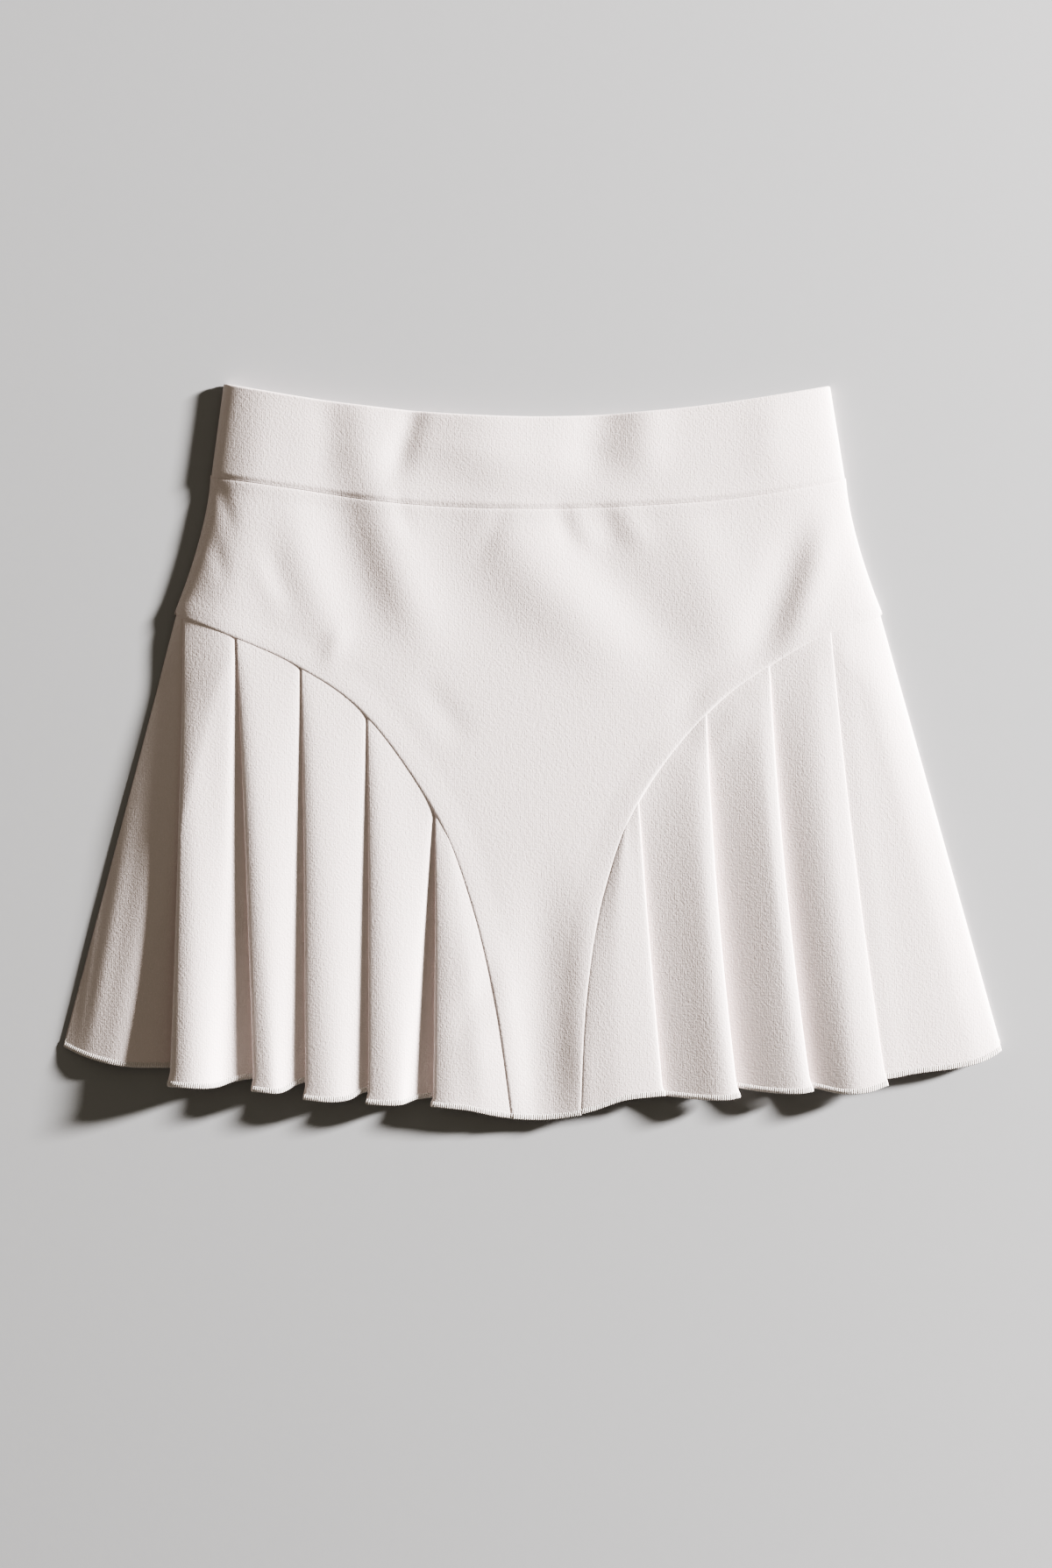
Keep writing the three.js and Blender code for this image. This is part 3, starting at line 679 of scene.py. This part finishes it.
def top_threads(panel, pleat, grow, shoulder_grow):
    """The rim, just inside the visible edge, and the shoulder, where most pleats are highest."""
    rim = [mix(*ends) for ends in zip(pleat["fold"], pleat["shoulder"], RIM_SHARES)]
    rim_grow = (grow + shoulder_grow) / 2
    bow = pleat_bow(pleat)
    return [thread(panel, pleat["apex"] + RIM_GRIP, rim, 0.0, rim_grow, bow),
            thread(panel, pleat["apex"] + SHOULDER_GRIP, pleat["shoulder"], 0.0, shoulder_grow, bow)]


def recess_threads(panel, pleat, following, opening, shoulder_grow):
    """From the shoulder down to the floor before the following apex: slope, crest, foot and recess."""
    slope_x = mix(pleat["apex"], following, panel["lean"])
    crest_grip, foot_grip, recess_grip = panel["grip"]
    return [thread(panel, slope_x, pleat["slope"], 0.0, shoulder_grow),
            thread(panel, following - crest_grip, pleat["crest"], 0.0, opening),
            thread(panel, following - foot_grip, pleat["foot"], FOOT_DEPTH * panel["depth"], opening),
            thread(panel, following - recess_grip, pleat["recess"], panel["depth"], opening)]


def inner_threads(panel, opening):
    """The flat cloth between the last fold and the lower part of the seam, which it follows."""
    seam = seam_curves[panel["side"]]
    last = panel["pleats"][-1]
    grip_x = last["apex"] + INNER_GRIP
    fold_line = mix(tucked(panel, last["apex"])[0], last["fold"][0], DOWN) + pleat_bow(last)
    flat_from = fold_line + mix(*INNER_GAP, DOWN)
    edge_y = mix(seam_y(panel, grip_x + RIM_GRIP), panel["inner"][-1][1], DOWN)
    edge_x = np.interp(edge_y, seam[::-1, 1], seam[::-1, 0]) + TUCK
    threads = []
    for part, hem_y, lift in panel["inner"]:
        top_y = mix(tucked(panel, grip_x)[1], edge_y[0], part)
        y = edge_y if part == 1.0 else mix(top_y, hem_y, DOWN)
        threads.append((mix(flat_from, edge_x, part), y, lift * opening))
    return threads


# %% All threads of a panel
def fold_growth(panel, k, opening):
    """How the edge and the shoulder of pleat k rise from seam to hem; the first has powers of its own."""
    if k > 0:
        return opening ** panel["lag"], opening
    early_rise = opening * (1 - DOWN) ** 3
    return [DOWN**power + early * early_rise for power, early in panel["growth"][1:]]


def panel_threads(panel):
    """The control threads, as arrays of x, y and lift over the rows, all in the panel's own coordinates."""
    opening = (1 - np.exp(-DOWN / panel["opening"])) / (1 - math.exp(-1 / panel["opening"]))
    flare_grow = DOWN ** panel["growth"][0]
    threads = [thread(panel, seam_x, hem, 0.0, flare_grow) for seam_x, *hem in panel["flare"]]
    before = panel["flare"][-1][1:]
    for k, pleat in enumerate(panel["pleats"]):
        grow, shoulder_grow = fold_growth(panel, k, opening)
        threads += fold_threads(panel, pleat, before, grow)
        threads += top_threads(panel, pleat, grow, shoulder_grow)
        if k + 1 < len(panel["pleats"]):
            following = panel["pleats"][k + 1]["apex"]
            threads += recess_threads(panel, pleat, following, opening, shoulder_grow)
            before = pleat["recess"]
    threads += inner_threads(panel, opening)
    return [np.array(kind) for kind in zip(*threads)]


def spline_weights(controls):
    """Cubic B-spline weights that smooth the threads, with the two end threads kept where they are."""
    steps = np.arange(SAMPLES_PER_CONTROL) / SAMPLES_PER_CONTROL
    first = steps**2
    last = controls - 1 - np.flip(steps**2)
    middle = (np.arange(1, controls - 2)[:, None] + steps[None, :]).reshape(-1)
    places = np.concatenate([first, middle, last])
    reach = np.abs(places[:, None] - np.arange(-1, controls + 1)[None, :])
    near = 2 / 3 - reach**2 + reach**3 / 2
    far = np.clip(2 - reach, 0, None) ** 3 / 6
    bell = np.where(reach < 1, near, far)
    weights = bell[:, 1:-1].copy()
    weights[:, 0] += 2 * bell[:, 0]
    weights[:, 1] -= bell[:, 0]
    weights[:, -1] += 2 * bell[:, -1]
    weights[:, -2] -= bell[:, -1]
    return weights


# %% Pleated panels
def pleated_points(panel):
    """The smoothed threads, laid on the front's height, with the edge tucked under the welt."""
    x, y, lift = panel_threads(panel)
    weights = spline_weights(len(x))
    x, y, lift = [(weights @ kind).T for kind in (x, y, lift)]
    seam = seam_curves[panel["side"]]
    distance = distance_to_curve(x, y, seam)
    outside = np.where(y > seam_y(panel, x), -distance, distance)
    drop = TUCK_DROP * (1 - smoothstep(outside, -TUCK_FADE, 0.0))
    x = x * panel["mirror"]
    z = front_height(x, y) + lift + crease_height(x, y, CREASES) - drop
    points = np.stack([x, y, z], axis=2)
    return points if panel["mirror"] > 0 else points[:, ::-1]


left_points = pleated_points(LEFT)
right_points = pleated_points(RIGHT)
side_panel_left = cloth_wall("side_panel_left_cloth", left_points, CLOTH)
side_panel_right = cloth_wall("side_panel_right_cloth", right_points, CLOTH)

# %% [markdown]
# ## The waistband
#
# The band is doubled cloth over wide elastic, so it is thicker than the skirt and its top edge is a
# soft fold. Each half is a grid between its upper edge and the waist seam whose thickness runs out
# in a half circle at the top, where the cloth turns over.

# %% Waistband halves
BAND_CLOTH = 2.2
BAND_STEP = 1.3
BAND_COLUMNS, BAND_ROWS = 170, 60
BAND_Z = {"edge": 2.3, "front": 8.8, "back": 1.15}
BAND_ROLL = 42
BAND_ROUND = 1.1  # radius of the fold along the top edge
BAND_RIM = 0.02  # a little wall is left at the very edge
SEAM_DIP, SEAM_DIP_WIDTH = 0.65, 3.0  # the band's lower edge is pulled down into the waist seam
BACK_CURL = 0.6  # how far the back half's ends turn up to meet the front half


def band_grid():
    """x and y between the band's upper edge and the waist seam, with the distance from either side."""
    u = spread(BAND_COLUMNS)[None, :]
    v = spread(BAND_ROWS, 0.9)[:, None]
    top_x = mix(BAND_TOP["left"], BAND_TOP["right"], u)
    bottom_x = mix(WAIST_SEAM[0][0] + BAND_STEP, WAIST_SEAM[-1][0] - BAND_STEP, u)
    x = mix(top_x, bottom_x, v)
    y = mix(band_top_y(top_x), waist_seam_y(bottom_x), v)
    width = bottom_x[0, -1] - bottom_x[0, 0]
    return x, y, np.minimum(u, 1 - u) * width + 0 * v


band_x, band_y, band_side = band_grid()
from_top = band_top_y(band_x) - band_y
from_seam = band_y - waist_seam_y(band_x)
roll = quarter_circle(band_side / BAND_ROLL)
turn_over = quarter_circle((from_top + BAND_RIM) / BAND_ROUND)
seam_dip = SEAM_DIP * (1 - smoothstep(from_seam, 0, SEAM_DIP_WIDTH))
band_z = mix(BAND_Z["edge"], BAND_Z["front"], roll) - seam_dip
band_z += crease_height(band_x, band_y, CREASES + BAND_CREASES)
band_front_points = np.stack([band_x, band_y, band_z], axis=2)
waistband_front = cloth_wall("waistband_front_cloth", band_front_points, BAND_CLOTH * turn_over)

# %% Back half of the band
band_back_z = BAND_Z["back"] + BACK_CURL * (1 - roll) ** 3
band_back_points = np.stack([band_x, band_y, band_back_z], axis=2)
waistband_back = cloth_wall("waistband_back_cloth", band_back_points, BAND_CLOTH * turn_over)

# %% [markdown]
# ## The back and the shorts
#
# The back lies flat on the table under everything else, so it only shows at the sides and where the
# front's hem ends above its own. It is ruled between its upper and lower edges, with the last
# millimetres at each side curled up to meet the front.

# %% Back yoke and back skirt
BACK_HEM_Y, BACK_HEM_DROP, BACK_YOKE_DROP = -156, 14, 10
BACK_Z = 0.4
CURL_WIDTH = 3.0
START_HALF = 190.0  # a first guess of half the width, which the passes correct
PASSES = 4


def back_points(upper_y, lower_y, rows, columns=120):
    """A flat layer between two edges. x sets y, and at the sides y sets x, so they are found in turn."""
    u = spread(columns)[None, :]
    v = spread(rows, 0.9)[:, None]
    x = mix(-START_HALF, START_HALF, u) + 0 * v
    for _ in range(PASSES):
        y = mix(upper_y(x, u), lower_y(x, u), v)
        x = mix(-side_x(y, "left"), side_x(y, "right"), u)
    from_side = np.minimum(x + side_x(y, "left"), side_x(y, "right") - x)
    curl = (edge_height(x, y) - BACK_Z) * (1 - quarter_circle(from_side / CURL_WIDTH))
    z = BACK_Z + curl + crease_height(x, y, BACK_CREASES)
    return np.stack([x, y, z], axis=2)


def back_yoke_y(x, u):
    """The seam between yoke and skirt, which dips in the middle."""
    return YOKE_BOTTOM_Y - BACK_YOKE_DROP * np.sin(np.pi * u)


def back_hem_y(x, u):
    """The back's hem, which dips in the middle too."""
    return BACK_HEM_Y - BACK_HEM_DROP * np.sin(np.pi * u)


back_yoke_points = back_points(lambda x, u: waist_seam_y(x), back_yoke_y, 40)
back_skirt_points = back_points(back_yoke_y, back_hem_y, 90)
back_yoke = cloth_wall("back_yoke_cloth", back_yoke_points, CLOTH)
back_skirt = cloth_wall("back_skirt_cloth", back_skirt_points, CLOTH)

# %% Inner shorts
SHORTS_INSET, SHORTS_SIDE = 10, 178
CROTCH_Y, SHORTS_HEM_Y, LEG_GAP = -70, -145, 7
SHORTS_Z = {"shorts_back": 1.75, "shorts_front": 3.0}
CROTCH_SHARE = 0.06  # half width of the notch, as a share of half the width
NOTCH_COLUMN = 0.9  # where in the notch a column of points lies, as a share of its half width
LEG_COLUMNS, SHORTS_ROWS = 40, 50


def shorts_points(z):
    """A layer whose lower edge rises to a notch between the two legs."""
    far = np.concatenate([[0, NOTCH_COLUMN * CROTCH_SHARE], np.linspace(CROTCH_SHARE, 1, LEG_COLUMNS)])
    across = np.concatenate([-far[:0:-1], far])[None, :]
    v = np.linspace(0, 1, SHORTS_ROWS)[:, None]
    u = (across + 1) / 2
    top_x = mix(WAIST_SEAM[0][0] + SHORTS_INSET, WAIST_SEAM[-1][0] - SHORTS_INSET, u)
    leg = np.clip((np.abs(across) - CROTCH_SHARE) / (1 - CROTCH_SHARE), 0, 1)
    notch = np.clip(np.abs(across) / CROTCH_SHARE, 0, 1)
    low_x = np.sign(across) * (LEG_GAP * notch + (SHORTS_SIDE - LEG_GAP) * leg)
    low_y = np.where(np.abs(across) < CROTCH_SHARE - 1e-9, CROTCH_Y, SHORTS_HEM_Y)
    x = mix(top_x, low_x, v)
    y = mix(waist_seam_y(top_x), low_y, v)
    return np.stack([x, y, np.full_like(x, z)], axis=2)


shorts_back_points = shorts_points(SHORTS_Z["shorts_back"])
shorts_front_points = shorts_points(SHORTS_Z["shorts_front"])
shorts_back = cloth_wall("shorts_back_cloth", shorts_back_points, CLOTH)
shorts_front = cloth_wall("shorts_front_cloth", shorts_front_points, CLOTH)

# %% [markdown]
# ## The overlocked hem
#
# The hem isn't turned up: an overlock machine trims the edge and winds thread round it. That leaves
# a soft rounded rim with a row of tiny ticks. Here it is one long flat thread that goes round the
# edge in loops, an ellipse that moves on by one stitch a turn. The path is computed for the whole
# hem at once and a six-sided tube with smooth shading is laid along it, so a loop costs 48 faces.

# %% Overlock thread
STITCH = 1.15  # from loop to loop
LOOP_REACH = 3.2  # how far a loop reaches up the cloth
LOOP_OVERHANG = 0.3
THREAD_WIDTH, THREAD_THICKNESS = 1.0, 0.36  # flat, so that the loops nearly cover the edge
LOOP_POINTS = 8
RING = 6  # corners round the thread
TABLE_GAP = 0.05  # no thread goes lower than this
ROWS_UP = 4  # the hem's direction is taken from so many rows above it


def unit(vectors):
    """The same directions with length 1."""
    return vectors / np.maximum(np.linalg.norm(vectors, axis=-1, keepdims=True), 1e-9)


def overlock(name, points):
    """Tube along an ellipse that is as wide as the cloth is thick and moves along the grid's last row."""
    hem = points[-1]
    walked = lengths_along(hem)
    turns = int(walked[-1] / STITCH)
    t = np.linspace(0, turns, turns * LOOP_POINTS + 1)
    places = t / turns * walked[-1]

    def along_hem(rows):
        return np.stack([np.interp(places, walked, rows[:, k]) for k in range(3)], axis=1)

    centre = along_hem(hem)
    down = along_hem(unit(hem - points[-1 - ROWS_UP]))
    normal = along_hem(grid_normals(points)[-1])
    forward = np.gradient(centre, axis=0)
    angle = 2 * np.pi * t[:, None]
    path = centre + down * (LOOP_OVERHANG + LOOP_REACH / 2 * (np.cos(angle) - 1))
    path = path + normal * (CLOTH + THREAD_THICKNESS) / 2 * np.sin(angle)
    tangent = unit(np.gradient(path, axis=0))
    out = unit(np.cross(tangent, forward))
    across = np.cross(out, tangent)
    turn = np.arange(RING) / RING * 2 * np.pi
    thick = THREAD_THICKNESS / 2 * out[:, None] * np.cos(turn)[:, None]
    wide = THREAD_WIDTH / 2 * across[:, None] * np.sin(turn)[:, None]
    corners = path[:, None] + thick + wide
    corners[..., 2] = np.maximum(corners[..., 2], TABLE_GAP)
    start = RING * np.arange(len(path) - 1)[:, None]
    first = start + np.arange(RING)[None, :]
    after = start + (np.arange(RING)[None, :] + 1) % RING
    faces = np.stack([first, after, after + RING, first + RING], axis=2).reshape(-1, 4)
    last = RING * (len(path) - 1)
    caps = [list(range(RING))[::-1], list(range(last, last + RING))]
    print(name, turns, "loops,", 2 * len(faces), "triangles")
    return add_mesh(name, corners, faces.tolist() + caps)


HEMS = {
    "front_panel_cloth": overlock("overlock_front_panel", front_points),
    "side_panel_left_cloth": overlock("overlock_side_left", left_points),
    "side_panel_right_cloth": overlock("overlock_side_right", right_points),
    "back_skirt_cloth": overlock("overlock_back_skirt", back_skirt_points),
}

# %% [markdown]
# ## Materials
#
# Everything is one white stretch jersey. A knit has upright ribs, the wales, crossed by rows of
# loops, and brushing leaves a fine uneven grain over both. The node group works all three out from
# the place on the cloth in millimetres, and gives a shade, a roughness and a normal. In such low
# light a height of a few hundredths of a millimetre is enough to show.

# %% Knit node group
SOCKETS = [
    # name, way, type, default
    ("Place", "INPUT", "Vector", None),
    ("Colour", "INPUT", "Color", (0.8, 0.8, 0.8, 1)),
    ("Wale Pitch", "INPUT", "Float", 0.85),
    ("Course Pitch", "INPUT", "Float", 0.7),
    ("Grain Size", "INPUT", "Float", 1.2),
    ("Relief", "INPUT", "Float", 0.09),
    ("Unevenness", "INPUT", "Float", 0.03),
    ("Base Colour", "OUTPUT", "Color", None),
    ("Roughness", "OUTPUT", "Float", None),
    ("Normal", "OUTPUT", "Vector", None),
]
knit = bpy.data.node_groups.new("knit_surface", "ShaderNodeTree")
for label, way, kind, value in SOCKETS:
    socket = knit.interface.new_socket(name=label, in_out=way, socket_type="NodeSocket" + kind)
    if value is not None:
        socket.default_value = value
knit_given = knit.nodes.new("NodeGroupInput").outputs
knit_out = knit.nodes.new("NodeGroupOutput")


def add(kind, operation=None, **values):
    """A node in the knit group, with its operation and the defaults of its named inputs."""
    node = knit.nodes.new(kind)
    if operation:
        node.operation = operation
    for key, value in values.items():
        node.inputs[key].default_value = value
    return node


def join(output, node, place=0):
    """Link an output to a numbered or named input and return the node."""
    knit.links.new(output, node.inputs[place])
    return node


def number(operation, a, b):
    """A Math node between two outputs or plain numbers."""
    node = add("ShaderNodeMath", operation)
    for place, value in enumerate((a, b)):
        if isinstance(value, (int, float)):
            node.inputs[place].default_value = value
        else:
            join(value, node, place)
    return node.outputs[0]


# %% Ribs, grain and shade
STRAY = 1.5  # millimetres that the ribs stray sideways
WALE_RELIEF, COURSE_RELIEF, GRAIN_RELIEF = 0.13, 0.09, 3.0  # shares of the relief
SMOOTHEST, ROUGHER = 0.8, 0.12  # lowest roughness, and what the grain adds to it

wander = join(knit_given["Place"], add("ShaderNodeTexNoise", Scale=0.05, Detail=1.0), "Vector")
split = join(knit_given["Place"], add("ShaderNodeSeparateXYZ"))
wale_place = number("ADD", split.outputs["X"], number("MULTIPLY", wander.outputs["Fac"], STRAY))
wale_turns = number("DIVIDE", wale_place, knit_given["Wale Pitch"])
wale = number("SINE", number("MULTIPLY", wale_turns, 2 * math.pi), 0.0)
course_turns = number("DIVIDE", split.outputs["Y"], knit_given["Course Pitch"])
course = number("SINE", number("MULTIPLY", course_turns, 2 * math.pi), 0.0)
fine_place = join(knit_given["Place"], add("ShaderNodeVectorMath", "SCALE"))
join(number("DIVIDE", 1.0, knit_given["Grain Size"]), fine_place, "Scale")
grain = join(fine_place.outputs[0], add("ShaderNodeTexNoise", Scale=1.0, Detail=3.0, Roughness=0.6), "Vector")
mottle = join(knit_given["Place"], add("ShaderNodeTexNoise", Scale=0.11, Detail=3.0), "Vector")
ribs = number("ADD", number("MULTIPLY", wale, WALE_RELIEF), number("MULTIPLY", course, COURSE_RELIEF))
bump_height = number("ADD", ribs, number("MULTIPLY", grain.outputs["Fac"], GRAIN_RELIEF))
bump_distance = number("MULTIPLY", knit_given["Relief"], MM)
bump = join(bump_height, add("ShaderNodeBump"), "Height")
join(bump_distance, bump, "Distance")
join(bump.outputs["Normal"], knit_out, "Normal")
uneven = number("SUBTRACT", number("ADD", grain.outputs["Fac"], mottle.outputs["Fac"]), 1.0)
shade = number("ADD", number("MULTIPLY", uneven, knit_given["Unevenness"]), 1.0)
tinted = join(knit_given["Colour"], add("ShaderNodeVectorMath", "SCALE"))
join(shade, tinted, "Scale")
join(tinted.outputs[0], knit_out, "Base Colour")
rough = number("ADD", number("MULTIPLY", grain.outputs["Fac"], ROUGHER), SMOOTHEST)
join(rough, knit_out, "Roughness")
print(knit.name, "has", len(knit.nodes), "nodes")

# %% Cloth, thread and table
SPECULAR, SHEEN_ROUGHNESS = 0.25, 0.5


def cloth_material(name, sheen, **settings):
    """Principled cloth fed by the knit group, whose inputs are set by name."""
    material = bpy.data.materials.new(name)
    material.use_nodes = True
    tree = material.node_tree
    shader = tree.nodes["Principled BSDF"]
    place = tree.nodes.new("ShaderNodeTexCoord")
    millimetres = tree.nodes.new("ShaderNodeVectorMath")
    millimetres.operation = "SCALE"
    millimetres.inputs["Scale"].default_value = 1 / MM
    surface = tree.nodes.new("ShaderNodeGroup")
    surface.node_tree = knit
    for key, value in settings.items():
        surface.inputs[key.replace("_", " ")].default_value = value
    tree.links.new(place.outputs["Object"], millimetres.inputs[0])
    tree.links.new(millimetres.outputs[0], surface.inputs["Place"])
    tree.links.new(surface.outputs["Base Colour"], shader.inputs["Base Color"])
    tree.links.new(surface.outputs["Roughness"], shader.inputs["Roughness"])
    tree.links.new(surface.outputs["Normal"], shader.inputs["Normal"])
    shader.inputs["Specular IOR Level"].default_value = SPECULAR
    shader.inputs["Sheen Weight"].default_value = sheen
    shader.inputs["Sheen Roughness"].default_value = SHEEN_ROUGHNESS
    return material


WHITE = (0.865, 0.765, 0.75, 1)
shell_jersey = cloth_material("white_jersey", 0.15, Colour=WHITE)
shorts_jersey = cloth_material("white_lining_jersey", 0.1, Colour=(0.8, 0.74, 0.72, 1), Wale_Pitch=0.7,
                               Relief=0.004)
thread_finish = cloth_material("overlock_thread", 0.1, Colour=(0.84, 0.79, 0.77, 1), Wale_Pitch=0.4,
                               Course_Pitch=0.4, Grain_Size=0.5)
table_finish = cloth_material("pale_table", 0.0, Colour=(0.42, 0.42, 0.43, 1), Wale_Pitch=60.0,
                              Course_Pitch=60.0, Grain_Size=5.0, Relief=0.004, Unevenness=0.02)
table.data.materials.append(table_finish)
print(len(bpy.data.materials), "materials share", knit.name)

# %% [markdown]
# ## Place in the frame
#
# Each piece of cloth takes the place of the imported model's solid of the same name and rides on the
# one body, because nothing here moves by itself. Its flat size and area are measured along the grid
# that it was made from, through every fold and crease, because no flat pattern was drawn first. The
# wound hem goes with the piece that it binds.

# %% Ride and replace
PIECES = [
    (waistband_back, "waistband_back", band_back_points, "shell_jersey", "laid", ["table"]),
    (waistband_front, "waistband_front", band_front_points, "shell_jersey", "laid", [waistband_back]),
    (back_yoke, "back_yoke", back_yoke_points, "shell_jersey", "laid", ["table"]),
    (back_skirt, "back_skirt", back_skirt_points, "shell_jersey", "laid", ["table"]),
    (shorts_back, "shorts_back", shorts_back_points, "shorts_jersey", "laid", [back_skirt]),
    (shorts_front, "shorts_front", shorts_front_points, "shorts_jersey", "laid", [shorts_back]),
    (side_panel_left, "side_panel_left", left_points, "shell_jersey", "folded", [shorts_front]),
    (side_panel_right, "side_panel_right", right_points, "shell_jersey", "folded", [shorts_front]),
    (front_panel, "front_panel", front_points, "shell_jersey", "laid", [shorts_front]),
]
for piece, node, points, slot, held, rests_on in PIECES:
    piece.data.materials.append(shorts_jersey if slot == "shorts_jersey" else shell_jersey)
    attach(piece, "root")
    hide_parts(node)
    width, length, area = flat_size(points)
    hem = [HEMS[piece.name]] if piece.name in HEMS else []
    for thread in hem:
        thread.data.materials.append(thread_finish)
        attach(thread, "root")
    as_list(rests_on)
    print(node, "flat", round(width / MM), "x", round(length / MM), "mm,", round(area * 1e4), "cm2")
